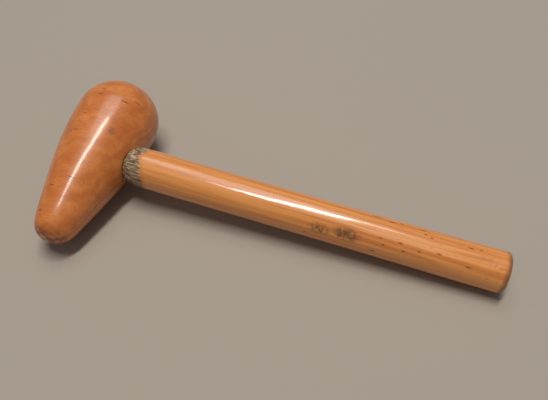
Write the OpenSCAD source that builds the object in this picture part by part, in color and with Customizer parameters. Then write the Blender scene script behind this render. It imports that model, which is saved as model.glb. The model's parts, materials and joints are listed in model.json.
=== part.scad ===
// Lead dressing mallet, the plumber's bossing mallet: a pear-shaped hardwood head on a round handle.
// The handle's tenon goes right through the head's eye and is spread by a wedge on the far side.
// The mallet lies on its side, as it is put down on a bench: Z is up, X runs along the handle
// from the head to the butt, and the origin is under the middle of the whole tool.

/* [Head] */
// Length of the head, from the crown of the big end to the nose
head_l = 127; // [112:1:145]
// Radius of the big rounded end
crown_r = 28; // [24:0.5:32]
// Radius of the small nose
nose_r = 12.5; // [10:0.5:16]
// Radius of the long side curve, from the big end to the nose
side_r = 296; // [220:2:600]
// Distance of the handle's axis from the crown, along the head
eye_at = 58; // [48:0.5:68]

/* [Handle] */
// Diameter of the grip
grip_d = 26; // [24:0.5:30]
// Distance of the butt from the head's axis, along the handle
reach = 272.5; // [220:0.5:330]
// Rounding of the butt's edge
butt_round = 2.6; // [1:0.1:5]
// Length of the rounded neck between the head and the grip
neck_l = 9.5; // [5:0.5:14]
// Diameter of the tenon in the eye
tenon_d = 20; // [17:0.5:22]
// How far the tenon's end grows in radius where the wedge spreads it
tenon_spread = 0.8; // [0.4:0.1:1.4]
// Depth of the eye's flare, and of the spread end of the tenon in it
flare_depth = 18; // [12:0.5:22]
// How far the tenon's end and the wedge stand proud of the head
tenon_proud = 0.4; // [0.2:0.1:1.5]
// Depth of the saw cut in the tenon's end
kerf_depth = 26; // [22:0.5:32]

/* [Wedge] */
// Thickness of the wedge at its driven end
wedge_t = 3.4; // [2.4:0.1:5]
// Thickness of the wedge at its thin edge
wedge_tip_t = 0.8; // [0.5:0.1:1.2]
// Length of the wedge
wedge_l = 21; // [16:0.5:21.5]

/* [Fits] */
// Clearance per side, between tenon and eye and between wedge and saw cut
fit = 0.1; // [0.05:0.05:0.3]
// Gap between the head and the neck, which is scribed to it
neck_gap = 0.3; // [0.2:0.05:0.6]

/* [Hidden] */
$fn = 96;

head_wood = [0.72, 0.41, 0.17];
handle_wood = [0.84, 0.54, 0.24];
wedge_wood = [0.62, 0.44, 0.26];

// The head is turned about its own axis, Y, with the handle's axis at y = 0 and the crown at +Y.
// Three arcs make its outline, each tangent to the next: crown, long side and nose.
crown_y = eye_at - crown_r;
nose_y = eye_at - head_l + nose_r;
span = crown_y - nose_y;
crown_gap = side_r - crown_r;
nose_gap = side_r - nose_r;
side_lead = (pow(nose_gap, 2) - pow(crown_gap, 2) - pow(span, 2)) / (2 * span);
side_y = crown_y + side_lead;
side_drop = sqrt(pow(crown_gap, 2) - pow(side_lead, 2));

// Where the arcs meet, as angles of the surface's normal away from +Y
crown_end_a = atan2(side_drop, crown_y - side_y);
nose_start_a = atan2(side_drop, nose_y - side_y);
crown_steps = 22;
side_steps = 20;
nose_steps = 16;

// Lying down, the head touches the bench beside its handle, at y = 0, and the butt's edge touches it too.
touch_a = acos(-side_y / side_r);
waist_r = side_r * sin(touch_a) - side_drop;
axis_z = waist_r * sin(touch_a);
butt_x = reach - butt_round;
butt_r = grip_d / 2 - butt_round;
slope = asin((axis_z - butt_round) / norm([butt_x, butt_r])) - atan2(butt_r, butt_x);
lean = asin(-cos(touch_a) / cos(slope));

// How far the head reaches along a direction that makes the angle a with its axis
function head_reach(a) =
    a <= crown_end_a ? crown_y * cos(a) + crown_r :
    a <= nose_start_a ? side_y * cos(a) - side_drop * sin(a) + side_r :
    nose_y * cos(a) + nose_r;

// The laid-down tool's furthest points along X and Y, with the handle's axis over y = 0
x_low = -head_reach(acos(-sin(slope) * sin(lean)));
x_high = butt_x * cos(slope) + butt_r * sin(slope) + butt_round;
y_low = -head_reach(180 - lean);
y_high = head_reach(lean);

// Places along the handle, measured from the head's axis: the neck starts where the tenon's sides leave
// the round of the head
neck_x = sqrt(pow(waist_r, 2) - pow(tenon_d / 2, 2));
grip_x = waist_r + neck_l;
tenon_end = -(waist_r + tenon_proud);
// Overlap that lets a cutting solid run clear of the face it cuts
over = 2;

// Points of an arc about a centre, from angle a to angle b
function arc(centre, r, a, b, steps) =
    [for (i = [0 : steps]) centre + r * [cos(a + (b - a) * i / steps), sin(a + (b - a) * i / steps)]];

// All but the last point, for an arc that the next one goes on from
function but_last(points) = [for (i = [0 : len(points) - 2]) points[i]];

// Half outline of the head as [distance along the axis, radius], grown outwards by extra
function head_outline(extra) = concat(
    but_last(arc([crown_y, 0], crown_r + extra, 0, crown_end_a, crown_steps)),
    but_last(arc([side_y, -side_drop], side_r + extra, crown_end_a, nose_start_a, side_steps)),
    arc([nose_y, 0], nose_r + extra, nose_start_a, 180, nose_steps)
);

// A turned solid about the X axis, from points given as [place along X, radius]
module turned_about_x(points) {
    rotate([0, 90, 0])
        rotate_extrude()
            polygon([for (p = points) [p[1], p[0]]]);
}

// A turned solid about the Y axis, from points given as [place along Y, radius]
module turned_about_y(points) {
    rotate([-90, 0, 0])
        rotate_extrude()
            polygon([for (p = points) [p[1], p[0]]]);
}

// Puts the standing tool down on the bench and over the origin
module laid_down() {
    translate([-(x_low + x_high) / 2, -(y_low + y_high) / 2, axis_z])
        rotate([0, slope, 0])
            rotate([lean, 0, 0])
                children();
}

module head_blank(extra) {
    turned_about_y(head_outline(extra));
}

// The tenon with its spread end, grown by extra all round; the eye is the same solid with the fit added
module tenon_blank(extra) {
    far = tenon_end - over;
    near = crown_r + over;
    flare_end = tenon_end + flare_depth;
    r = tenon_d / 2 + extra;
    wide_r = r + tenon_spread * (flare_end - far) / flare_depth;
    turned_about_x([[far, 0], [far, wide_r], [flare_end, r], [near, r], [near, 0]]);
}

// The wedge's tapering slab, grown by extra on each side: its thick end is outside, its edge in the tenon
module wedge_slab(extra) {
    thick = wedge_t / 2 + extra;
    thin = wedge_tip_t / 2 + extra;
    edge = tenon_end + wedge_l;
    growth = (thick - thin) * over / wedge_l;
    translate([0, 0, -tenon_d])
        linear_extrude(2 * tenon_d)
            polygon([
                [tenon_end - over, -thick - growth],
                [edge, -thin],
                [edge, thin],
                [tenon_end - over, thick + growth]
            ]);
}

// The saw cut's own narrow bottom, deeper than the wedge goes
module kerf_bottom() {
    width = wedge_tip_t + 2 * fit;
    depth = kerf_depth - wedge_l + over;
    translate([tenon_end + kerf_depth - depth, -width / 2, -tenon_d])
        cube([depth, width, 2 * tenon_d]);
}

// The neck swells from the tenon to the grip in a quarter of an ellipse
module neck_and_grip() {
    run = grip_x - neck_x;
    rise = (grip_d - tenon_d) / 2;
    neck_steps = 10;
    turned_about_x(concat(
        [[neck_x, 0]],
        [for (i = [0 : neck_steps]) [
            grip_x - run * cos(90 * i / neck_steps),
            tenon_d / 2 + rise * sin(90 * i / neck_steps)
        ]],
        arc([butt_x, butt_r], butt_round, 90, 0, 8),
        [[reach, 0]]
    ));
}

// The head, with the eye bored and flared right through it
module head() {
    color(head_wood)
        laid_down()
            difference() {
                head_blank(0);
                tenon_blank(fit);
            }
}

// The handle in one piece: the grip, the neck scribed to the head, and the tenon, which is trimmed
// to the head's far side and sawn for the wedge
module handle() {
    color(handle_wood)
        laid_down()
            union() {
                difference() {
                    neck_and_grip();
                    head_blank(neck_gap);
                }
                difference() {
                    intersection() {
                        tenon_blank(0);
                        union() {
                            head_blank(tenon_proud);
                            translate([0, -tenon_d, -tenon_d])
                                cube([2 * waist_r, 2 * tenon_d, 2 * tenon_d]);
                        }
                    }
                    wedge_slab(fit);
                    kerf_bottom();
                }
            }
}

// The wedge, trimmed to the tenon and to the head's far side
module wedge() {
    color(wedge_wood)
        laid_down()
            intersection() {
                wedge_slab(0);
                tenon_blank(0);
                head_blank(tenon_proud);
            }
}

head();
handle();
wedge();
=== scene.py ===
# %% [markdown]
# # A bossing mallet, for dressing sheet lead
# The real tool is three pieces of wood: a turned, pear-shaped head, a round varnished handle whose tenon
# goes right through the head, and a small wedge that spreads the tenon on the far side. A measured model
# of the three comes in first. It says how large everything is and where it lies, so the pieces made here
# are built around it, in metres and in the same place.

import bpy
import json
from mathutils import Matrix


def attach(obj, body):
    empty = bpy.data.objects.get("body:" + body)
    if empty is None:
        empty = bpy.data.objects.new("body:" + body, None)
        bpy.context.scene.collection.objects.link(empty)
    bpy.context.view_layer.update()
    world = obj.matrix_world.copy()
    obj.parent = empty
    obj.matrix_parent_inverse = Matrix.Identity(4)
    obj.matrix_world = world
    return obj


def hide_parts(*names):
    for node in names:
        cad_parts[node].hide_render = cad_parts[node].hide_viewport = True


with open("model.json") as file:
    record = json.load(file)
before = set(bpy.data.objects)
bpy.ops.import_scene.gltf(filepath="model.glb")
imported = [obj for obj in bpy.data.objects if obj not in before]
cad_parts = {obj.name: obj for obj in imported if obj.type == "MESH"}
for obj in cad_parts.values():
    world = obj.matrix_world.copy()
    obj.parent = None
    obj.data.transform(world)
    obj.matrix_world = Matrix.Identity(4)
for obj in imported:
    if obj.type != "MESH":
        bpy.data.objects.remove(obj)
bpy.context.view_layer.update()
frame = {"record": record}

# %% [markdown]
# ## The mallet's own axes
# A maker measures this tool from one point: where the handle's axis crosses the head's. Here X runs down
# the handle to the butt, Y along the head to its big end, and Z is up when both lie level. The tool is
# put down on a bench, so it is tipped twice: the handle slopes down to its butt, and the head's nose dips.
# Every piece is built level, in millimetres, and one matrix then puts it down. The slope comes from the
# handle's measured axis, and the lean from the head's own outline, because the head touches the bench
# beside the handle.

# %% Tools and units
import json
import math
import random

import bmesh
import bpy
from mathutils import Euler, Matrix, Vector, noise

MM = 0.001
scene = bpy.context.scene

# %% The head's measures, in millimetres
head_length = 127
crown_radius = 28
nose_radius = 12.5
side_radius = 296
eye_to_crown = 58
print("head:", head_length, "mm long,", 2 * crown_radius, "mm across its crown")

# %% The handle's measures, in millimetres
mounts = {mount["name"]: mount for mount in frame["record"]["mounts"]}
reach = 272.5
grip_radius = mounts["grip"]["dims"]["r_mm"]
butt_round = 2.6
neck_length = 9.5
tenon_radius = 10
tenon_spread = 0.8
flare_depth = 18
tenon_proud = 0.4
kerf_depth = 26
fit = 0.1
neck_gap = 0.3
print("grip radius:", grip_radius, "mm")

# %% The wedge's measures, in millimetres
wedge_thick = 3.4
wedge_tip = 0.8
wedge_length = 21
print("wedge:", wedge_length, "mm long, from", wedge_thick, "to", wedge_tip, "mm thick")

# %% The head's outline: three arcs that run into each other
crown_y = eye_to_crown - crown_radius
nose_y = eye_to_crown - head_length + nose_radius
crown_gap = side_radius - crown_radius
nose_gap = side_radius - nose_radius
arcs_apart = crown_y - nose_y
side_lead = (nose_gap**2 - crown_gap**2 - arcs_apart**2) / (2 * arcs_apart)
side_y = crown_y + side_lead
side_drop = math.sqrt(crown_gap**2 - side_lead**2)
crown_end = math.atan2(side_drop, crown_y - side_y)
nose_start = math.atan2(side_drop, nose_y - side_y)
print("side arc:", round(math.degrees(crown_end), 1), "to", round(math.degrees(nose_start), 1), "degrees")

# %% How the tool lies
handle_axis = Vector(mounts["butt"]["axis"]).normalized()
crossing = Vector(mounts["butt"]["pos_m"]) - handle_axis * reach * MM
slope = math.asin(-handle_axis.z)
touch = math.acos(-side_y / side_radius)
waist_radius = side_radius * math.sin(touch) - side_drop
lean = math.asin(-math.cos(touch) / math.cos(slope))
tipped = Euler((lean, slope, 0)).to_matrix().to_4x4()
lying = Matrix.Translation(crossing) @ tipped @ Matrix.Scale(MM, 4)
print("slope", round(math.degrees(slope), 2), "lean", round(math.degrees(lean), 2), "degrees")
print("head's radius at the handle:", round(waist_radius, 2), "mm")

# %% [markdown]
# ## The camera
# The photograph looks down on the bench from the front, a little from the left, with the handle pointing
# to the right and towards the viewer. The camera is set once, by where it stands and how it is turned.
# These numbers were found by fitting the mallet's outline to its outline in the photograph.

# %% Stand the camera where the photographer stood
picture_width = 548
focal_pixels = 587
heading = math.radians(17.83)
looking_down = math.radians(51.61)
roll = math.radians(0.38)
camera_place = Vector((73.07, -214.33, 317.21)) * MM

camera_data = bpy.data.cameras.new("bench_view")
camera_data.sensor_width = 36
camera_data.lens = camera_data.sensor_width * focal_pixels / picture_width
camera_data.clip_start = 0.01
camera = bpy.data.objects.new("bench_view", camera_data)
scene.collection.objects.link(camera)
turned_to = Euler((math.pi / 2 - looking_down, 0, heading)).to_matrix().to_4x4()
camera.matrix_world = Matrix.Translation(camera_place) @ turned_to @ Matrix.Rotation(roll, 4, "Z")
scene.camera = camera
print("lens:", round(camera_data.lens, 2), "mm")

# %% [markdown]
# ## Writing a finish as a sum
# A finish is a tree of nodes, but wood is easier to think of as sums: this much grain, less where the
# varnish is gone. One small class wraps a socket, so that plus, minus and times on it add the Math nodes.
# A second holds a tree and adds any other node to it by a single method. Linking every node by hand would
# give the same finish, but nobody could read the sum in it.

# %% A wire that can be added and multiplied
class Wire:
    """A number, colour or place on its way out of a node. Arithmetic on a number adds Math nodes."""

    def __init__(self, wiring, socket):
        self.wiring = wiring
        self.socket = socket

    def __add__(self, other):
        return self.wiring.maths("ADD", self, other)

    __radd__ = __add__

    def __sub__(self, other):
        return self.wiring.maths("SUBTRACT", self, other)

    def __rsub__(self, other):
        return self.wiring.maths("SUBTRACT", other, self)

    def __mul__(self, other):
        return self.wiring.maths("MULTIPLY", self, other)

    __rmul__ = __mul__


# %% A tree, and its one method for any node
class Wiring:
    """A tree of nodes. add() puts any node into it."""

    def __init__(self, tree):
        self.tree = tree

    def feed(self, socket, value):
        """Links a wire to a socket, or sets a plain value on it."""
        if isinstance(value, Wire):
            self.tree.links.new(value.socket, socket)
        elif socket.type == "RGBA":
            socket.default_value = (*value, 1)
        else:
            socket.default_value = value

    def add(self, kind, settings, sockets, output=0):
        """Adds a node: first its settings, then its sockets' values or wires. Gives one output's wire."""
        node = self.tree.nodes.new(kind)
        for setting, value in settings.items():
            setattr(node, setting, value)
        for socket, value in sockets.items():
            self.feed(node.inputs[socket], value)
        return Wire(self, node.outputs[output])

    def maths(self, operation, *values):
        """A Math node on these values."""
        return self.add("ShaderNodeMath", {"operation": operation}, dict(enumerate(values)))


# %% A finish for one piece
class Finish(Wiring):
    """One material, with a Principled shader."""

    def __init__(self, name):
        self.material = bpy.data.materials.new(name)
        self.material.use_nodes = True
        super().__init__(self.material.node_tree)

    def surface(self, sockets):
        """Sets sockets of the shader itself, by their names."""
        shader = self.tree.nodes["Principled BSDF"]
        for name, value in sockets.items():
            self.feed(shader.inputs[name], value)


# %% [markdown]
# ## Places on the wood
# Real grain runs through the block, so every pattern starts from a point's place in the level tool, in
# its own millimetres. The pieces lie tipped on the bench, and a Mapping node undoes that: it takes the
# point back through the same shift, turn and scale that put the piece down.

# %% The mallet's own millimetres on the surface
def own_place(finish):
    """Where a point of the surface is in the level tool's axes, in millimetres."""
    places = finish.add("ShaderNodeTexCoord", {}, {}, "Object")
    laid = {"Vector": places, "Location": crossing, "Rotation": (lean, slope, 0), "Scale": (MM, MM, MM)}
    return finish.add("ShaderNodeMapping", {"vector_type": "TEXTURE"}, laid)


def stretched(place, scales):
    """A place with each axis scaled: a small number draws a pattern out along that axis."""
    return place.wiring.add("ShaderNodeVectorMath", {"operation": "MULTIPLY"}, {0: place, 1: scales})


def turned_place(place, angle):
    """A place turned about Z."""
    sockets = {"Vector": place, "Angle": angle}
    return place.wiring.add("ShaderNodeVectorRotate", {"rotation_type": "Z_AXIS"}, sockets)


def part_of(place, axis):
    """One coordinate of a place, by its letter."""
    return place.wiring.add("ShaderNodeSeparateXYZ", {}, {"Vector": place}, axis)


def length_of(place):
    """How far a place is from the origin."""
    return place.wiring.add("ShaderNodeVectorMath", {"operation": "LENGTH"}, {0: place}, "Value")


def difference(place, centre):
    """A place as seen from a centre."""
    return place.wiring.add("ShaderNodeVectorMath", {"operation": "SUBTRACT"}, {0: place, 1: centre})


# %% Numbers that stay in bounds, and waves
def between(value, low, high):
    """0 up to low, 1 from high, and a smooth rise in between. With low above high it falls instead."""
    sockets = {"Value": value, "From Min": low, "From Max": high}
    return value.wiring.add("ShaderNodeMapRange", {"interpolation_type": "SMOOTHSTEP"}, sockets)


def at_most(value, most):
    """The value, or the limit where it is more."""
    return value.wiring.maths("MINIMUM", value, most)


def at_least(value, least):
    """The value, or the limit where it is less."""
    return value.wiring.maths("MAXIMUM", value, least)


def bands(value):
    """A sine wave of the value, between 0 and 1."""
    return value.wiring.maths("SINE", value) * 0.5 + 0.5


# %% Clouds, spots and dashes
def clouds(place, scales, detail, twist=0):
    """Soft noise between 0 and 1. scales are its cells to the millimetre, along each axis."""
    sockets = {"Vector": stretched(place, scales), "Scale": 1, "Detail": detail, "Distortion": twist}
    return place.wiring.add("ShaderNodeTexNoise", {}, sockets)


def spot(place, centre, sizes):
    """1 in the middle of an egg-shaped spot and 0 at its edge. sizes are its half lengths."""
    shrunk = stretched(difference(place, centre), [1 / size for size in sizes])
    solid_middle = 0.3
    return between(length_of(shrunk), 1, solid_middle)


def dashes(place, length, width, share):
    """Short marks along X, scattered one to a cell, in this share of the cells."""
    wiring = place.wiring
    scatter = {"Vector": stretched(place, (1 / length, 1 / width, 1 / width)), "Scale": 1}
    distance = wiring.add("ShaderNodeTexVoronoi", {}, scatter, "Distance")
    colour = wiring.add("ShaderNodeTexVoronoi", {}, scatter, "Color")
    lot = wiring.add("ShaderNodeSeparateColor", {}, {"Color": colour})
    edge = 0.36
    middle = 0.1
    return between(distance, edge, middle) * between(lot, 1 - share, 1.03 - share)


# %% One colour over another
def laid_over(mask, below, above):
    """A colour laid over another as far as the mask says."""
    return mask.wiring.add("ShaderNodeMix", {"data_type": "RGBA"}, {0: mask, 6: below, 7: above}, 2)


def raised(height, strength, distance):
    """A bumpy normal from a height. distance is the bump's full height in metres."""
    sockets = {"Height": height, "Strength": strength, "Distance": distance}
    return height.wiring.add("ShaderNodeBump", {}, sockets)


# %% [markdown]
# ## Light
# The varnish shows one long bright line down the handle, and the shadow lies almost straight below. So
# the main lamp is a long narrow one, high overhead, along the handle. A larger, dimmer panel behind it
# gives the soft sheen on the head's big end. Each lamp is given as its share of the full light on the
# bench, and with the room's own light the shares make about 1. At that level a colour renders about as
# it is written.

# %% A lamp from its share of the light
def hang_lamp(name, place, size, share, colour):
    """Hangs a rectangular lamp that faces the mallet. Its power follows from its distance and share."""
    data = bpy.data.lights.new(name, "AREA")
    data.shape = "RECTANGLE"
    data.size = size[0]
    data.size_y = size[1]
    data.color = colour
    distance = Vector(place).length
    data.energy = share * (math.pi * distance) ** 2
    lamp = bpy.data.objects.new(name, data)
    scene.collection.objects.link(lamp)
    lamp.location = place
    lamp.rotation_euler = Vector(place).to_track_quat("Z", "Y").to_euler()
    lamp.visible_camera = False
    print(name, "power", round(data.energy, 1), "W")


warm_white = (1.0, 0.95, 0.88)
cool_white = (0.90, 0.97, 1.0)
hang_lamp("long_lamp", place=(-0.10, 0.05, 2.3), size=(1.2, 0.22), share=0.62, colour=warm_white)
hang_lamp("ceiling_panel", place=(-0.35, 0.80, 2.2), size=(1.3, 0.9), share=0.17, colour=cool_white)

# %% The room round the bench
backdrop_colour = (0.47, 0.42, 0.37)
room_colour = (0.92, 0.98, 1.0)
room_share = 0.17
world = bpy.data.worlds.new("room")
world.use_nodes = True
scene.world = world
scene.view_settings.view_transform = "Standard"
room = Wiring(world.node_tree)
seen_directly = room.add("ShaderNodeLightPath", {}, {}, "Is Camera Ray")
seen_through = room.add("ShaderNodeLightPath", {}, {}, "Is Transmission Ray")
backdrop = room.add("ShaderNodeBackground", {}, {"Color": backdrop_colour})
soft_light = room.add("ShaderNodeBackground", {}, {"Color": room_colour, "Strength": room_share})
either = room.add("ShaderNodeMixShader", {}, {0: seen_directly + seen_through, 1: soft_light, 2: backdrop})
room.feed(room.tree.nodes["World Output"].inputs["Surface"], either)
room.tree.nodes.remove(room.tree.nodes["Background"])
print("the room gives", room_share, "of the light")

# %% [markdown]
# ## The bench top
# The mallet lies on a plain matt cover. A soft, even, pale colour keeps the eye on the wood and takes the
# shadow. It is one large round face just under everything.

# %% The bench top
bench_radius = 4
bench_sides = 96


def make_bench():
    """The bench top, marked as not part of the mallet."""
    finish = Finish("bench_cover")
    finish.surface({"Base Color": (0.43, 0.375, 0.32), "Roughness": 0.9, "Specular IOR Level": 0.2})
    shape = bmesh.new()
    bmesh.ops.create_circle(shape, cap_ends=True, segments=bench_sides, radius=bench_radius)
    mesh = bpy.data.meshes.new("bench_top")
    shape.to_mesh(mesh)
    shape.free()
    mesh.materials.append(finish.material)
    bench = bpy.data.objects.new("bench_top", mesh)
    scene.collection.objects.link(bench)
    print("bench top:", 2 * bench_radius, "m across")


make_bench()

# %% [markdown]
# ## Skins from rings
# The head and the handle are round, so each is a skin over rings of points, as a turner works: ring after
# ring along the piece. A modifier on a plain cylinder could not follow the scribed neck or carry dents.
# With a function for every point, wear can be pressed into the shape itself.

# %% A closed skin over rings of points
def full_turn(sides):
    """The angles of a ring's points."""
    return [2 * math.pi * k / sides for k in range(sides)]


def skin(rings):
    """A closed mesh over rings of points. The first and last ring are single points."""
    shape = bmesh.new()
    loops = [[shape.verts.new(point) for point in ring] for ring in rings]
    for one, two in zip(loops, loops[1:]):
        for k in range(max(len(one), len(two))):
            here = [one[k % len(one)], one[(k + 1) % len(one)]]
            there = [two[(k + 1) % len(two)], two[k % len(two)]]
            shape.faces.new(list(dict.fromkeys(here + there)))
    bmesh.ops.recalc_face_normals(shape, faces=shape.faces)
    return shape


def as_object(name, shape):
    """A bmesh as an object, still level and in millimetres."""
    mesh = bpy.data.meshes.new(name)
    shape.to_mesh(mesh)
    shape.free()
    thing = bpy.data.objects.new(name, mesh)
    scene.collection.objects.link(thing)
    return thing


# %% Cutting a volume out of a piece
def cut_away(thing, cutter):
    """Takes the cutter's volume out of a piece for good, and removes the cutter."""
    cut = thing.modifiers.new("cut", "BOOLEAN")
    cut.operation = "DIFFERENCE"
    cut.solver = "EXACT"
    cut.object = cutter
    seen_whole = thing.evaluated_get(bpy.context.evaluated_depsgraph_get())
    thing.data = bpy.data.meshes.new_from_object(seen_whole)
    thing.modifiers.clear()
    bpy.data.objects.remove(cutter)
    print("cut", thing.name, "to", len(thing.data.polygons), "faces")


# %% Swells and dents
dent_reach = 2.5


def swell(point, waves):
    """A soft unevenness in millimetres. Each wave is its height, and its length from crest to crest."""
    return sum(height * noise.noise(Vector(point) / length) for height, length in waves)


def pressed(point, dents):
    """How deep these dents are at a point. A dent is its place, its radius and its depth."""
    depth = 0
    for place, radius, deep in dents:
        apart = (point - place).length / radius
        if apart < dent_reach:
            depth += deep * math.exp(-apart * apart)
    return depth


# %% [markdown]
# ## The head
# The head was turned from one block of close hardwood: a round crown, a long side that is almost
# straight, and a small blunt nose. The three arcs from above make its outline, and each ring is set
# square to them. The real one has left the lathe long ago. It is a little fuller below the crown and on
# the nose's shoulders, its surface swells softly, and the nose is dented from use.

# %% Where the head's surface is
def head_radius(y):
    """The outline's radius at a place along the head's axis."""
    if y > crown_y + crown_radius * math.cos(crown_end):
        return math.sqrt(max(crown_radius**2 - (y - crown_y) ** 2, 0))
    if y > nose_y + nose_radius * math.cos(nose_start):
        return math.sqrt(side_radius**2 - (y - side_y) ** 2) - side_drop
    return math.sqrt(max(nose_radius**2 - (y - nose_y) ** 2, 0))


def outline_at(angle):
    """The outline's place along the axis and radius, where its normal makes this angle with the axis."""
    if angle <= crown_end:
        return crown_y + crown_radius * math.cos(angle), crown_radius * math.sin(angle)
    if angle <= nose_start:
        return side_y + side_radius * math.cos(angle), side_radius * math.sin(angle) - side_drop
    return nose_y + nose_radius * math.cos(angle), nose_radius * math.sin(angle)


def on_head(angle, turn):
    """A place on the outline. turn is 0 on top and a quarter turn on the handle's side."""
    y, radius = outline_at(angle)
    return Vector((radius * math.sin(turn), y, radius * math.cos(turn)))


# %% Dents on the nose: place, radius and depth
nose_dents = [
    (Vector((1.3, -63.3, 10.4)), 1.1, 0.22),
    (Vector((-1.5, -65.0, 8.8)), 1.6, 0.16),
    (Vector((4.5, -66.5, 5.5)), 2.2, 0.14),
    (Vector((-4.0, -67.0, 2.0)), 1.8, 0.20),
    (Vector((2.0, -68.8, -3.0)), 2.4, 0.22),
]
print(len(nose_dents), "dents on the nose")

# %% Shallow dents over the rest of the head
chance = random.Random(11)
other_dents = 26


def struck_dent():
    """One shallow dent, anywhere but on the strip that faces up."""
    angle = chance.uniform(0.2, 3.0)
    turn = chance.uniform(0.6, 5.6)
    radius = chance.uniform(1.2, 3.2)
    depth = chance.uniform(0.04, 0.16)
    return on_head(angle, turn), radius, depth


head_dents = nose_dents + [struck_dent() for k in range(other_dents)]
print(len(head_dents), "dents on the head")

# %% How the worn head stands out from its outline
head_swellings = [(14, 14, 0.45), (-30, 14, -0.35), (nose_y, 9, 0.6)]
head_waves = [(0.10, 19), (0.035, 6)]
nose_blunted = 0.9
nose_point = 8


def fullness(y, angle):
    """How far the head is fuller than its arcs. A swelling is its middle, its half width and its height."""
    grown = sum(high * math.exp(-(((y - middle) / wide) ** 2)) for middle, wide, high in head_swellings)
    return grown - nose_blunted * max(-math.cos(angle), 0) ** nose_point


def head_point(angle, turn):
    """A point of the worn head."""
    point = on_head(angle, turn)
    outwards = Vector((math.sin(angle) * math.sin(turn), math.cos(angle), math.sin(angle) * math.cos(turn)))
    height = fullness(point.y, angle) + swell(point, head_waves) - pressed(point, head_dents)
    return point + outwards * height


print("fullness below the crown:", round(fullness(14, crown_end), 2), "mm")

# %% Turn the head
head_sides = 352
crown_rings = 70
side_rings = 150
nose_rings = 40


def steps_between(start, end, count):
    """count even steps from start, without the end."""
    return [start + (end - start) * k / count for k in range(count)]


head_angles = steps_between(0, crown_end, crown_rings)
head_angles += steps_between(crown_end, nose_start, side_rings)
head_angles += steps_between(nose_start, math.pi, nose_rings)
head_rings = [[head_point(0, 0)]]
head_rings += [[head_point(angle, turn) for turn in full_turn(head_sides)] for angle in head_angles[1:]]
head_rings.append([head_point(math.pi, 0)])
head = as_object("head", skin(head_rings))
print("head rings:", len(head_rings))

# %% [markdown]
# ## The eye
# The eye goes right through the head and widens on the far side, where the wedge spreads the tenon. It is
# cut with a Boolean, as the borer cuts it, so its rim follows the head's round by itself.

# %% The tenon's radius, from which the eye takes its own
tenon_end = -(waist_radius + tenon_proud)
flare_end = tenon_end + flare_depth


def tenon_radius_at(x):
    """The tenon's radius, which grows towards its far end."""
    return tenon_radius + tenon_spread * max(flare_end - x, 0) / flare_depth


print("tenon's end:", round(2 * tenon_radius_at(tenon_end), 1), "mm across")

# %% Bore the eye
clear_by = 3
eye_sides = 160


def make_eye_borer():
    """The eye's volume: a rod along X that widens to the far side and clears the head at both ends."""
    places = (tenon_end - clear_by, flare_end, 0, crown_radius + clear_by)
    turns = full_turn(eye_sides)
    rings = [[(places[0], 0, 0)]]
    for x in places:
        radius = tenon_radius_at(x) + fit
        rings.append([(x, radius * math.sin(turn), radius * math.cos(turn)) for turn in turns])
    rings.append([(places[-1], 0, 0)])
    return as_object("eye_borer", skin(rings))


cut_away(head, make_eye_borer())

# %% [markdown]
# ## The handle
# The handle is one piece of wood with three jobs: a long grip, a short bare neck that is scribed to the
# head, and the tenon inside it. Its rings start in the tenon's far end and run to the butt. Each ring is
# bent where the real surface is: the tenon's end follows the head, and the neck stops short of it. The
# grip is not a perfect rod. It is waisted by a quarter of a millimetre, and near the butt a narrow flat
# with an open grain line splits the lamp's reflection in two.

# %% The handle's stations
neck_x = math.sqrt(waist_radius**2 - tenon_radius**2)
grip_x = waist_radius + neck_length
butt_x = reach - butt_round


def near_head(x_own, y, z, gap):
    """Where a line along the handle at y and z leaves the head, with a gap. Never less than x_own."""
    inside = (head_radius(y) + gap) ** 2 - z * z
    return max(x_own, math.sqrt(max(inside, 0)))


def smooth(value, low, high):
    """0 up to low, 1 from high, with a smooth rise."""
    share = min(max((value - low) / (high - low), 0), 1)
    return share * share * (3 - 2 * share)


def away_from_axis(turn):
    """The direction straight out of the handle. turn is 0 on top and negative towards the nose."""
    return Vector((0, math.sin(turn), math.cos(turn)))


print("grip from", round(grip_x, 1), "to", round(butt_x, 1), "mm")

# %% The grip's dents, by distance from the head's axis and degrees from the top
def on_grip(x, around):
    """A place on the grip's surface."""
    angle = math.radians(around)
    return Vector((x, grip_radius * math.sin(angle), grip_radius * math.cos(angle)))


grip_dents = [
    (on_grip(194.6, -32), 0.9, 0.12),
    (on_grip(206.0, -34), 0.9, 0.14),
    (on_grip(208.0, -28), 0.8, 0.10),
    (on_grip(229.0, -33), 0.9, 0.14),
    (on_grip(231.5, -28), 0.8, 0.10),
    (on_grip(209.8, -50), 1.0, 0.16),
    (on_grip(218.7, -39), 0.7, 0.12),
    (on_grip(223.8, 9), 0.9, 0.06),
    (on_grip(246.0, 10), 0.9, 0.07),
    (on_grip(263.5, -19), 0.8, 0.14),
    (on_grip(266.5, -27), 0.9, 0.16),
    (on_grip(269.0, 50), 1.8, 0.25),
    (on_grip(120.0, 140), 1.6, 0.12),
    (on_grip(171.0, 118), 1.4, 0.10),
    (on_grip(232.0, -150), 1.8, 0.15),
    (on_grip(262.0, 170), 1.8, 0.18),
]
print(len(grip_dents), "dents on the grip")

# %% The grip's waist, its flat and its groove
waist_depth = 0.25
waist_tilt = 0.05
waist_curve = 0.55
flat_middle = math.radians(-17)
flat_half = math.radians(12)
flat_starts = (168, 188)
flat_ends = (258, 268)
groove_at = math.radians(-16.5)
groove_depth = 0.07
groove_half = 0.4
grip_waves = [(0.06, 24), (0.02, 7)]


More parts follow.
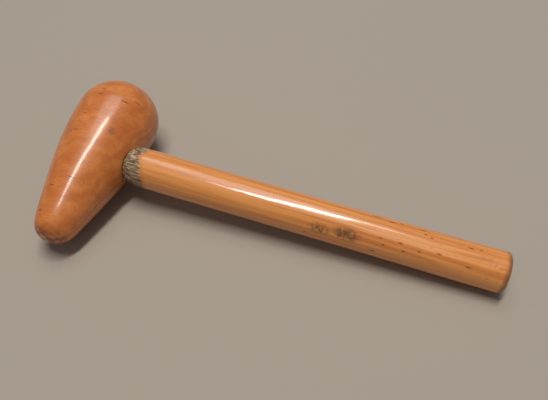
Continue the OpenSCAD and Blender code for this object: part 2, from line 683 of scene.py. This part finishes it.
def grip_shape(x, turn):
    """How far the grip's surface stands out from its radius."""
    along_grip = (x - grip_x) / (butt_x - grip_x) * 2 - 1
    on_top = 0.5 + 0.5 * math.cos(turn)
    height = (-waist_depth - waist_tilt * along_grip + waist_curve * along_grip**2) * on_top
    from_top = (turn + math.pi) % (2 * math.pi) - math.pi
    off_flat = abs(from_top - flat_middle)
    planed = smooth(x, *flat_starts) * (1 - smooth(x, *flat_ends))
    if off_flat < flat_half:
        height += planed * grip_radius * (math.cos(flat_half) / math.cos(off_flat) - 1)
    off_groove = abs(from_top - groove_at) * grip_radius
    return height - groove_depth * planed * math.exp(-((off_groove / groove_half) ** 2))


print("grip's middle:", round(grip_shape((grip_x + butt_x) / 2, 0), 2), "mm on top")

# %% The neck's torn fibres
varnish_from = 33
varnish_back = 6
varnish_ragged = 1.3
bare_before = 3.5
bare_after = 0.5
torn_waves = [(0.30, 9, 0.95), (0.12, 6, 0.45)]
torn_off = 0.12


def varnish_edge(turn):
    """How far along the handle the varnish begins: nearer the head on top than at the sides."""
    ragged = varnish_ragged * noise.noise(Vector((3 * math.sin(turn), 3 * math.cos(turn), 7)))
    return varnish_from + varnish_back * abs(math.sin(turn)) + ragged


def fibres(point, turn):
    """Raised and torn fibres on the bare neck, drawn out along the handle."""
    bare = 1 - smooth(point.x, varnish_edge(turn) - bare_before, varnish_edge(turn) + bare_after)
    torn = 0
    for height, length, width in torn_waves:
        torn += height * noise.noise(Vector((point.x / length, point.y / width, point.z / width)))
    return bare * (torn - torn_off)


print("varnish begins on top at", round(varnish_edge(0), 1), "mm")

# %% The tenon's points
end_chamfer = 0.35
chamfer_from = 0.9


def end_point(share, turn):
    """A point of the tenon's far end, which follows the head's round and stands a little proud."""
    radius = share * tenon_radius_at(tenon_end)
    y = radius * math.sin(turn)
    z = radius * math.cos(turn)
    rim = end_chamfer * (max(share - chamfer_from, 0) / (1 - chamfer_from)) ** 2
    return Vector((-math.sqrt((head_radius(y) + tenon_proud) ** 2 - z * z) + rim, y, z))


def tenon_point(share, turn):
    """A point of the tenon's side, from its far end to the neck."""
    far = end_point(1, turn)
    near = near_head(neck_x, tenon_radius * math.sin(turn), tenon_radius * math.cos(turn), neck_gap)
    x = far.x + share * (near - far.x)
    radius = tenon_radius_at(x)
    return Vector((x, radius * math.sin(turn), radius * math.cos(turn)))


print("tenon:", round(neck_x - end_point(0, 0).x, 1), "mm long")

# %% The neck's and the grip's points
fibres_start = 0.15


def neck_point(share, turn):
    """A point of the neck, which swells from the tenon to the grip in a quarter of an ellipse."""
    quarter = math.radians(90 * share)
    radius = tenon_radius + (grip_radius - tenon_radius) * math.sin(quarter)
    x = grip_x - (grip_x - neck_x) * math.cos(quarter)
    y = radius * math.sin(turn)
    z = radius * math.cos(turn)
    point = Vector((near_head(x, y, z, neck_gap), y, z))
    torn = smooth(share, 0, fibres_start) * fibres(point, turn)
    return point + away_from_axis(turn) * (torn + share * share * grip_shape(grip_x, turn))


def grip_point(x, turn):
    """A point of the grip."""
    point = Vector((x, 0, 0)) + away_from_axis(turn) * grip_radius
    raised_by = grip_shape(x, turn) + swell(point, grip_waves) + fibres(point, turn)
    return point + away_from_axis(turn) * (raised_by - pressed(point, grip_dents))


# %% The butt's points
face_waves = [(0.08, 5)]


def edge_point(angle, turn):
    """A point of the butt's rounded edge. angle is 0 at the grip and a quarter turn on the end face."""
    inset = butt_round * (1 - math.cos(angle))
    along = butt_round * math.sin(angle)
    return grip_point(butt_x, turn) - away_from_axis(turn) * inset + Vector((along, 0, 0))


def face_point(share, turn):
    """A point of the butt's end face, which is not quite flat. share is 1 at its rim."""
    rim = edge_point(math.pi / 2, turn)
    point = Vector((rim.x, rim.y * share, rim.z * share))
    return point + Vector((swell(point, face_waves) * (1 - share), 0, 0))


# %% Shave the handle
handle_sides = 288
marked_from = 175
marked_to = 258
plain_rings = 118
marked_rings = 92
butt_rings = 25
tenon_rings = 22
neck_rings = 38
face_rings = 9
innermost_share = 0.125
rim_shares = [0.93, 0.97]


def stretch_of(point_at, steps):
    """Rings at these steps, each a full turn of points."""
    return [[point_at(step, turn) for turn in full_turn(handle_sides)] for step in steps]


grip_steps = steps_between(grip_x, marked_from, plain_rings)
grip_steps += steps_between(marked_from, marked_to, marked_rings)
grip_steps += steps_between(marked_to, butt_x, butt_rings)
handle_rings = [[end_point(0, 0)]]
handle_rings += stretch_of(end_point, steps_between(innermost_share, 1, face_rings)[:-1] + rim_shares)
handle_rings += stretch_of(tenon_point, steps_between(0, 1, tenon_rings))
handle_rings += stretch_of(neck_point, steps_between(0, 1, neck_rings))
handle_rings += stretch_of(grip_point, grip_steps)
handle_rings += stretch_of(edge_point, steps_between(0, math.pi / 2, face_rings))
handle_rings += stretch_of(face_point, steps_between(1, 0, face_rings))
handle_rings.append([face_point(0, 0)])
handle = as_object("handle", skin(handle_rings))
print("handle rings:", len(handle_rings))

# %% [markdown]
# ## The saw cut
# Before the handle is driven in, its tenon is sawn down the middle, so that the wedge can open it. The cut
# is a Boolean with a slab that narrows as the wedge does. Its own bottom goes on a little deeper.

# %% Saw the tenon for the wedge
wedge_edge = tenon_end + wedge_length
saw_half_width = 1.5 * tenon_radius


def wedge_half(x):
    """Half the wedge's thickness at a place along the handle."""
    return (wedge_thick + (wedge_tip - wedge_thick) * (x - tenon_end) / wedge_length) / 2


def make_kerf_saw():
    """A slab that narrows inwards, wide enough to clear the tenon."""
    outside = tenon_end - clear_by
    mouth = wedge_half(outside) + fit
    bottom = wedge_half(wedge_edge) + fit
    half_outline = [(outside, mouth), (wedge_edge, bottom), (tenon_end + kerf_depth, bottom)]
    outline = half_outline + [(x, -half) for x, half in reversed(half_outline)]
    shape = bmesh.new()
    below = [shape.verts.new((x, y, -saw_half_width)) for x, y in outline]
    above = [shape.verts.new((x, y, saw_half_width)) for x, y in outline]
    for k in range(len(outline)):
        shape.faces.new([below[k - 1], below[k], above[k], above[k - 1]])
    shape.faces.new(below)
    shape.faces.new(above)
    bmesh.ops.recalc_face_normals(shape, faces=shape.faces)
    return as_object("kerf_saw", shape)


cut_away(handle, make_kerf_saw())

# %% [markdown]
# ## Splinters at the neck
# Years of work have torn the neck's fibres loose, and a few fine ones lie over onto the head. Each is a
# thin three-sided sliver that starts in the neck and follows it to the head. They are part of the handle,
# so they are added to its mesh.

# %% One sliver, from the neck to the head
sliver_steps = 6
sliver_root = 2.4
sliver_fall = 2.0
sliver_taper = 0.85
sliver_seat = 0.25


def splinter(shape, turn, length, thickness, lift):
    """Adds one sliver at this turn to a mesh. lift is how far its tip stands off the tenon."""
    rings = []
    for k in range(sliver_steps + 1):
        share = k / sliver_steps
        radius = tenon_radius + sliver_root - sliver_fall * share + lift * share * share
        y = radius * math.sin(turn)
        z = radius * math.cos(turn)
        start = near_head(neck_x, y, z, neck_gap * (1 - share))
        middle = Vector((start + (1 - share) * length * 0.5 - sliver_seat * share, y, z))
        thin = thickness * (1 - sliver_taper * share)
        across = Vector((0, math.cos(turn), -math.sin(turn))) * thin
        up = away_from_axis(turn) * thin
        rings.append([shape.verts.new(middle + side) for side in (across - up, up, -across - up)])
    for one, two in zip(rings, rings[1:]):
        for k in range(3):
            shape.faces.new([one[k - 1], one[k], two[k], two[k - 1]])
    shape.faces.new(rings[0])
    shape.faces.new(rings[-1])


# %% Lay the splinters over the joint
splinter_count = 34


def add_splinters():
    """Adds slivers all round the neck to the handle's mesh."""
    shape = bmesh.new()
    shape.from_mesh(handle.data)
    for k in range(splinter_count):
        turn = 2 * math.pi * (k + chance.uniform(-0.4, 0.4)) / splinter_count
        length = chance.uniform(3, 7)
        thickness = chance.uniform(0.12, 0.24)
        lift = chance.uniform(0.2, 1.1)
        splinter(shape, turn, length, thickness, lift)
    bmesh.ops.recalc_face_normals(shape, faces=shape.faces)
    shape.to_mesh(handle.data)
    shape.free()
    print(splinter_count, "splinters")


add_splinters()

# %% [markdown]
# ## The wedge
# The wedge is a tapered slip of hardwood that fills the saw cut. Its outer end was trimmed with the
# tenon, so it follows the head's round as well. A block of small cells is bent to these limits: thin
# along Y, as wide as the tenon along Z, and from the head's surface to its thin edge along X.

# %% Drive the wedge
wedge_cuts = 15
wedge_within = 0.995
crushed_waves = [(0.12, 2.5)]
crushed_fade = 8


def make_wedge():
    """The wedge as a fine block whose points are moved to where the wood is."""
    shape = bmesh.new()
    bmesh.ops.create_cube(shape, size=2)
    bmesh.ops.subdivide_edges(shape, edges=shape.edges, cuts=wedge_cuts, use_grid_fill=True)
    for vert in shape.verts:
        depth = (vert.co.x + 1) / 2
        x_level = tenon_end + depth * wedge_length
        y = vert.co.y * wedge_half(x_level)
        z = vert.co.z * math.sqrt(tenon_radius_at(x_level) ** 2 - y * y) * wedge_within
        outer = -math.sqrt((head_radius(y) + tenon_proud) ** 2 - z * z)
        x = outer + depth * (wedge_edge - outer)
        crushed = swell((x, y, z), crushed_waves) * (1 - depth) ** crushed_fade
        vert.co = Vector((x + crushed, y, z))
    return as_object("wedge", shape)


wedge = make_wedge()
print("wedge:", len(wedge.data.vertices), "points")

# %% [markdown]
# ## Polished head wood
# The head is close-grained and was polished by hands more than by a brush. Its grain runs the way the
# handle does, with fine short dark flecks, and the year rings show as soft bands along its flanks. The
# pattern is solid, worked out from each point's place in the block, so rings and flecks meet the round
# surface as they do in real wood. A picture wrapped round it would not.

# %% The head wood's colours
deep_honey = (0.66, 0.185, 0.034)
light_honey = (0.78, 0.255, 0.058)
ring_brown = (0.50, 0.115, 0.017)
grain_brown = (0.46, 0.11, 0.02)
bright_hair = (0.86, 0.36, 0.11)
fleck_brown = (0.20, 0.05, 0.012)
mark_brown = (0.13, 0.035, 0.012)
smudge_brown = (0.16, 0.05, 0.02)
nose_grime = (0.09, 0.035, 0.018)
# the colour by the eye is grime and painted shade round the eye's rim
eye_grime_and_shade_brown = (0.07, 0.028, 0.012)

# %% The head's marks, in its own millimetres: middle and half lengths
head_marks = [
    ((11.5, 29.5, 25.6), (4.6, 0.9, 2.2)),
    ((-5.5, 29.6, 27.4), (3.2, 0.6, 2.0)),
    ((-5.3, 34.3, 27.2), (2.2, 0.6, 2.0)),
    ((17.6, 34.0, 21.4), (3.8, 0.6, 3.0)),
    ((-8.5, 12.7, 25.8), (3.0, 0.6, 2.0)),
    ((-9.0, -0.2, 24.0), (4.0, 0.5, 2.0)),
    ((2.8, -31.5, 19.9), (4.4, 0.5, 1.6)),
    ((-7.4, -38.9, 16.7), (3.0, 0.7, 1.8)),
    ((-7.2, -55.4, 11.2), (3.2, 0.7, 2.2)),
]
smudge_at = (12.7, 6.7, 23.4)
smudge_sizes = (4.5, 4.5, 4.5)
print(len(head_marks), "marks on the head")

# %% The head's grain
grain_tilt = math.radians(8)
ring_spacing = 6.5
ring_wander = 26
wander_cells = (0.012, 0.035, 0.05)
head_fibre_cells = (0.09, 1.3, 1.3)
head_mottle_cells = (0.07, 0.13, 0.13)
head_hair_cells = (0.05, 3.2, 3.2)


def year_bands(grain):
    """The year rings, as bands that wander through the block."""
    wander = clouds(grain, wander_cells, 2)
    return bands((part_of(grain, "Z") + ring_wander * wander) * (2 * math.pi / ring_spacing))


def head_base_colour(grain, fibre, mottle, hair):
    """Honey wood with its rings, its grain and its brighter hairs."""
    honey = laid_over(between(mottle, 0.35, 0.65), deep_honey, light_honey)
    banded = laid_over(year_bands(grain) * 0.42, honey, ring_brown)
    grained = laid_over(between(fibre, 0.42, 0.72) * 0.45, banded, grain_brown)
    return laid_over(between(hair, 0.52, 0.7) * 0.18, grained, bright_hair)


# %% Where the head is dirty, and where shade is painted round the eye
nose_dirt_cells = (0.22, 0.3, 0.3)
nose_dirty_from = -60
nose_dirty_to = -69
eye_rim = (2.2, 0.3)


def nose_dirt_mask(own, grain):
    """Grime on the nose, in patches."""
    dirt = clouds(grain, nose_dirt_cells, 4)
    return between(part_of(own, "Y"), nose_dirty_from, nose_dirty_to) * between(dirt, 0.38, 0.62)


def eye_grime_and_shade_mask(own):
    """Grime and painted shade in the joint, close round the eye's rim on both sides."""
    from_axis = length_of(stretched(own, (0, 1, 1)))
    return between(from_axis, tenon_radius + eye_rim[0], tenon_radius + eye_rim[1])


# %% The head's finish
def head_finish():
    """Close hardwood under a thin, worn polish."""
    wood = Finish("polished_head_wood")
    own = own_place(wood)
    grain = turned_place(own, -grain_tilt)
    fibre = clouds(grain, head_fibre_cells, 5)
    mottle = clouds(grain, head_mottle_cells, 3, 0.6)
    hair = clouds(grain, head_hair_cells, 2)
    flecks = dashes(grain, length=7, width=0.75, share=0.16)
    long_flecks = dashes(grain, length=16, width=1.3, share=0.10)
    marks = sum(spot(own, centre, sizes) for centre, sizes in head_marks)
    smudge = spot(own, smudge_at, smudge_sizes) * between(mottle, 0.3, 0.6)
    nose_dirt = nose_dirt_mask(own, grain)
    eye_grime_and_shade = eye_grime_and_shade_mask(own)

    plain = head_base_colour(grain, fibre, mottle, hair)
    flecked = laid_over(flecks * 0.42 + long_flecks * 0.35, plain, fleck_brown)
    marked = laid_over(at_most(marks * (0.4 + 0.6 * fibre), 1), flecked, mark_brown)
    smudged = laid_over(smudge * 0.5, marked, smudge_brown)
    grimy = laid_over(nose_dirt * 0.8, smudged, nose_grime)
    # painted shade, with some grime, darkens the head round the eye's rim
    colour = laid_over(eye_grime_and_shade * 0.75, grimy, eye_grime_and_shade_brown)

    worn = at_most(nose_dirt * 0.6 + eye_grime_and_shade + marks * 0.4, 1)
    height = fibre * 0.5 + hair * 0.35 - flecks * 0.6 - marks * 0.5
    wood.surface({"Base Color": colour, "Normal": raised(height, 0.35, 0.00012)})
    wood.surface({"Roughness": 0.36 + 0.12 * fibre + 0.25 * worn, "Coat Weight": 0.62 - 0.5 * worn})
    wood.surface({"Coat Roughness": 0.17, "Coat IOR": 1.5, "IOR": 1.46})
    print("head finish:", len(wood.tree.nodes), "nodes")
    return wood


# %% [markdown]
# ## Varnished handle wood
# The handle is paler wood under glossy old varnish that has gone amber. The grain runs straight down it in
# streaks, with short pores on the half that is gripped. Grime has settled in two patches beside the
# middle, the butt's edge is worn dark, and the neck has no varnish at all. One mask, bare, says where the
# neck's varnish has gone, and it drives the colour, the roughness and the coat together.

# %% The handle wood's colours
pale_amber = (0.90, 0.36, 0.092)
deep_amber = (0.72, 0.225, 0.045)
streak_brown = (0.52, 0.15, 0.03)
pale_hair = (0.98, 0.52, 0.2)
pore_brown = (0.24, 0.07, 0.018)
scar_brown = (0.15, 0.04, 0.015)
patch_grime = (0.12, 0.06, 0.03)
varnish_lip = (0.50, 0.17, 0.045)
butt_brown = (0.23, 0.085, 0.028)

# %% The bare wood's colours
torn_shadow = (0.15, 0.085, 0.045)
torn_pale = (0.56, 0.40, 0.26)
# painted shade for the neck's lower side
neck_underside_shade = (0.07, 0.035, 0.018)
butt_grain_pale = (0.34, 0.15, 0.055)
butt_grain_dark = (0.16, 0.06, 0.022)
tenon_grain_pale = (0.30, 0.15, 0.07)
tenon_grain_dark = (0.13, 0.055, 0.025)

# %% The handle's marks: distance from the head's axis, degrees from the top, and half length
mark_half_width = 0.75
grip_marks = [
    (199.0, 27, 3.2),
    (204.9, 32, 1.6),
    (218.2, 30, 3.0),
    (223.8, 9, 1.4),
    (220.0, 15, 1.4),
    (241.3, 46, 1.6),
    (247.4, 12, 2.4),
    (253.2, 15, 1.6),
    (189.5, 34, 5.0),
    (194.6, -32, 1.8),
    (207.0, -31, 2.2),
    (230.2, -30, 2.2),
    (209.8, -50, 1.6),
    (218.7, -39, 1.3),
    (247.9, -42, 2.4),
    (149.0, -80, 1.6),
    (192.0, -76, 4.0),
    (197.2, -48, 1.5),
]
print(len(grip_marks), "marks on the grip")


def grip_marks_mask(own):
    """All the short dark marks on the grip."""
    half_widths = (mark_half_width, mark_half_width)
    return sum(spot(own, on_grip(x, around), (half, *half_widths)) for x, around, half in grip_marks)


# %% The handle's grain
streak_cells = (0.012, 0.42, 0.42)
handle_fibre_cells = (0.035, 1.7, 1.7)
handle_hair_cells = (0.06, 4.0, 4.0)
gripped_from = (165, 195)


def pores_mask(own):
    """Short open pores, mostly on the half that is gripped."""
    gripped = between(part_of(own, "X"), *gripped_from)
    return dashes(own, length=5, width=0.8, share=0.13) * (0.15 + 0.85 * gripped)


def handle_base_colour(own, fibre, hair):
    """Amber wood with its streaks, its grain and its paler hairs."""
    streak = clouds(own, streak_cells, 4, 0.35)
    amber = laid_over(between(streak, 0.36, 0.66), pale_amber, deep_amber)
    grained = laid_over(between(fibre, 0.48, 0.75) * 0.45, amber, streak_brown)
    return laid_over(between(hair, 0.55, 0.75) * 0.2, grained, pale_hair)


# %% Two patches of grime beside the handle's middle
smear_cells = (0.55, 0.25, 0.25)
scratch_cells = (0.35, 1.9, 1.9)
first_patch = (on_grip(157.6, -56), (9, 4.6, 5.5))
second_patch = (on_grip(174.5, -49), (11.5, 5.4, 6.5))


def patches_mask(own):
    """Smeared and scratched grime in two patches."""
    first = spot(own, *first_patch)
    second = spot(own, *second_patch)
    smeared = between(clouds(own, smear_cells, 4, 1), 0.35, 0.6)
    scratched = between(clouds(own, scratch_cells, 3), 0.45, 0.6)
    return (first * 0.8 + second) * (smeared * 0.75 + scratched * 0.4)


# %% Where the neck is bare
edge_on_top = 31
edge_sideways = 0.46
edge_ragged = 4
edge_cells = (0.3, 0.5, 0.5)
torn_cells = (0.09, 1.5, 1.5)
neck_shade = (4, -9)


def past_varnish_edge(own):
    """How far a point lies past the varnish's ragged edge, towards the butt."""
    sideways = own.wiring.maths("ABSOLUTE", part_of(own, "Y"))
    ragged = clouds(own, edge_cells, 3) * edge_ragged
    return part_of(own, "X") - (edge_on_top + edge_sideways * sideways + ragged)


def neck_colour(own, torn):
    """Grey, torn wood, with painted shade darkening its lower side."""
    fibre_colour = laid_over(between(torn, 0.4, 0.64), torn_shadow, torn_pale)
    # painted shade: the neck darkens towards its lower side
    return laid_over(between(part_of(own, "Z"), *neck_shade) * 0.7, fibre_colour, neck_underside_shade)


# %% The butt and the tenon's end
handle_dirt_cells = (0.25, 0.35, 0.35)
butt_worn_from = -0.5
butt_worn_to = 2.6
end_face_from = (0.6, 0.2)
tenon_face_at = (-20, -22)
pith_at = (0, 9, -13)
year_turns = 3.3


def year_rings(own, dirt):
    """The year rings on end grain, round a pith outside the handle."""
    flat = stretched(own, (0, 1, 1))
    sockets = {0: flat, 1: pith_at}
    off_pith = own.wiring.add("ShaderNodeVectorMath", {"operation": "DISTANCE"}, sockets, "Value")
    return bands((off_pith + 2 * dirt) * year_turns)


def with_end_grain(own, long_grain, year, end_face, tenon_face):
    """The colour along the grain, with the two ends' own colours laid over it."""
    butt_grain = laid_over(year * 0.6, butt_grain_pale, butt_grain_dark)
    tenon_grain = laid_over(year * 0.5, tenon_grain_pale, tenon_grain_dark)
    return laid_over(tenon_face, laid_over(end_face, long_grain, butt_grain), tenon_grain)


# %% The handle's finish
def handle_finish():
    """Straight-grained wood under glossy varnish, which has gone from the neck and the ends."""
    wood = Finish("varnished_handle_wood")
    own = own_place(wood)
    x = part_of(own, "X")
    fibre = clouds(own, handle_fibre_cells, 4)
    hair = clouds(own, handle_hair_cells, 2)
    torn = clouds(own, torn_cells, 5)
    dirt = clouds(own, handle_dirt_cells, 4)
    pores = pores_mask(own)
    marks = grip_marks_mask(own)
    patches = patches_mask(own)
    past_edge = past_varnish_edge(own)
    bare = between(past_edge, 1.0, -1.2)
    lip = between(past_edge, 3.2, 0.4) * (1 - bare)
    butt_worn = between(x + 3 * dirt, butt_x + butt_worn_from, butt_x + butt_worn_to)
    end_face = between(x, reach - end_face_from[0], reach - end_face_from[1])
    tenon_face = between(x, *tenon_face_at)
    year = year_rings(own, dirt)

    flecked = laid_over(pores * 0.5, handle_base_colour(own, fibre, hair), pore_brown)
    marked = laid_over(at_most(marks * 0.8, 1), flecked, scar_brown)
    stained = laid_over(at_most(patches, 0.85), marked, patch_grime)
    necked = laid_over(bare, stained, neck_colour(own, torn))
    edged = laid_over(lip * 0.35, necked, varnish_lip)
    butted = laid_over(butt_worn * 0.75, edged, butt_brown)
    colour = with_end_grain(own, butted, year, end_face, tenon_face)

    worn = bare + butt_worn * 0.5 + end_face * 0.6 + tenon_face
    dull = at_most(worn + marks * 0.5 + patches * 0.35, 1)
    height = torn * bare * 5 + fibre * 0.25 + hair * 0.12 - marks * 0.8 - pores * 0.5 + year * end_face
    wood.surface({"Base Color": colour, "Normal": raised(height, 0.4, 0.0002)})
    wood.surface({"Roughness": 0.34 + 0.1 * fibre + 0.42 * dull, "Coat Weight": at_least(0.95 - dull, 0)})
    wood.surface({"Coat Roughness": 0.13, "Coat IOR": 1.5, "IOR": 1.46})
    print("handle finish:", len(wood.tree.nodes), "nodes")
    return wood


# %% [markdown]
# ## Wedge wood
# The wedge shows only its crushed outer end: bare, oily end grain, lighter than the tenon round it. It
# has no varnish, so its shader has no coat, and its roughness follows the dirt.

# %% The wedge wood's colours
wedge_pale = (0.44, 0.25, 0.11)
wedge_brown = (0.28, 0.14, 0.055)
wedge_grime = (0.10, 0.05, 0.025)

# %% The wedge's finish
wedge_dirt_cells = (0.3, 0.6, 0.35)
wedge_layer_cells = (0.2, 2.6, 0.5)


def wedge_finish():
    """Bare end grain with dirt in it."""
    wood = Finish("bare_wedge_wood")
    own = own_place(wood)
    dirt = clouds(own, wedge_dirt_cells, 4)
    layers = clouds(own, wedge_layer_cells, 3)
    plain = laid_over(between(layers, 0.4, 0.65), wedge_pale, wedge_brown)
    colour = laid_over(between(dirt, 0.45, 0.7) * 0.7, plain, wedge_grime)
    wood.surface({"Base Color": colour, "Normal": raised(layers, 0.5, 0.0002)})
    wood.surface({"Roughness": 0.55 + 0.3 * dirt, "IOR": 1.46})
    print("wedge finish:", len(wood.tree.nodes), "nodes")
    return wood


# %% [markdown]
# ## Putting it together
# Each piece is laid on the bench and stands in for its measured solid. The whole mallet is one rigid
# body, because head, handle and wedge are driven together for good. Faces are shaded smooth, except where
# two meet at a sharp edge, such as the eye's rim.

# %% Lay the pieces down
sharp_angle = math.radians(50)


def lay_down(thing, finish, node):
    """Puts a level piece down on the bench in place of its measured solid, and gives it its finish."""
    mesh = thing.data
    mesh.transform(lying)
    mesh.polygons.foreach_set("use_smooth", [True] * len(mesh.polygons))
    mesh.set_sharp_from_angle(angle=sharp_angle)
    mesh.materials.clear()
    mesh.materials.append(finish.material)
    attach(thing, "root")
    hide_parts(node)
    print(thing.name, len(mesh.vertices), "points", len(mesh.polygons), "faces")


lay_down(head, head_finish(), "head")
lay_down(handle, handle_finish(), "handle")
lay_down(wedge, wedge_finish(), "wedge")
